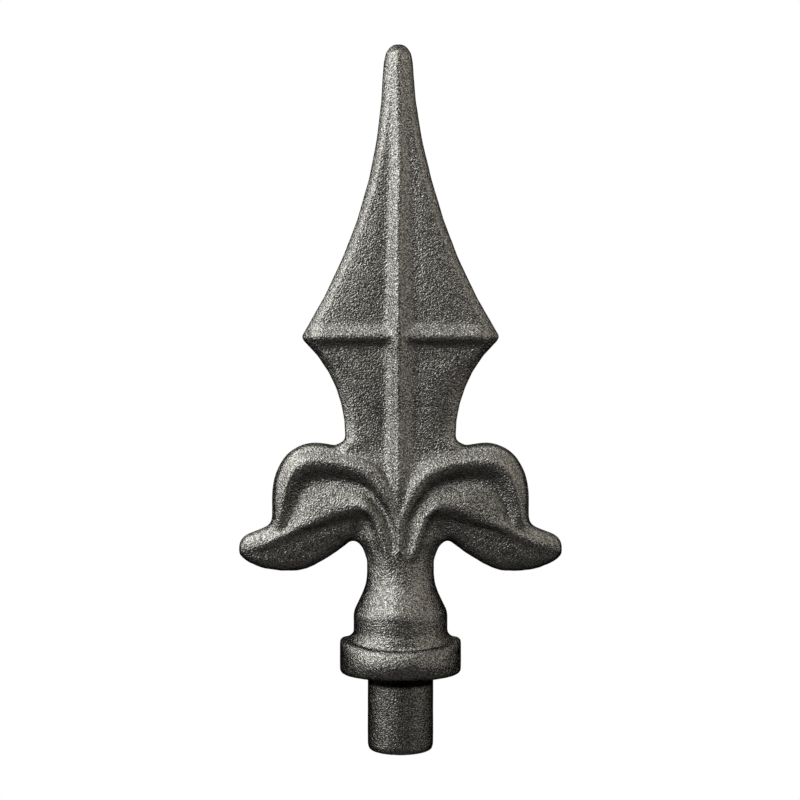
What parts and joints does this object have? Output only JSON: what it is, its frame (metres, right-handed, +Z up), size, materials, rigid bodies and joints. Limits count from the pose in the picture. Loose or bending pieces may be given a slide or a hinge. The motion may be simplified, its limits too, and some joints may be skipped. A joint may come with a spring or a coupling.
{
  "type": "railing spear finial",
  "caption": "Cast iron spear finial for a railing: a ribbed flat blade over two scrolled leaves, on a turned collar with a plain round spigot.",
  "frame": {"origin": "on the spigot's axis, at the underside of the collar", "axes": "+Z up the spigot's axis to the spear's point, +X across the blade's width, -Y out of the front face"},
  "size_m": [0.0686, 0.0258, 0.1497],
  "materials": {
    "cast_iron": "rough sand-cast skin, slightly glossy"
  },
  "bodies": {
    "root": {"finial": "cast_iron"}
  },
  "joints": []
}
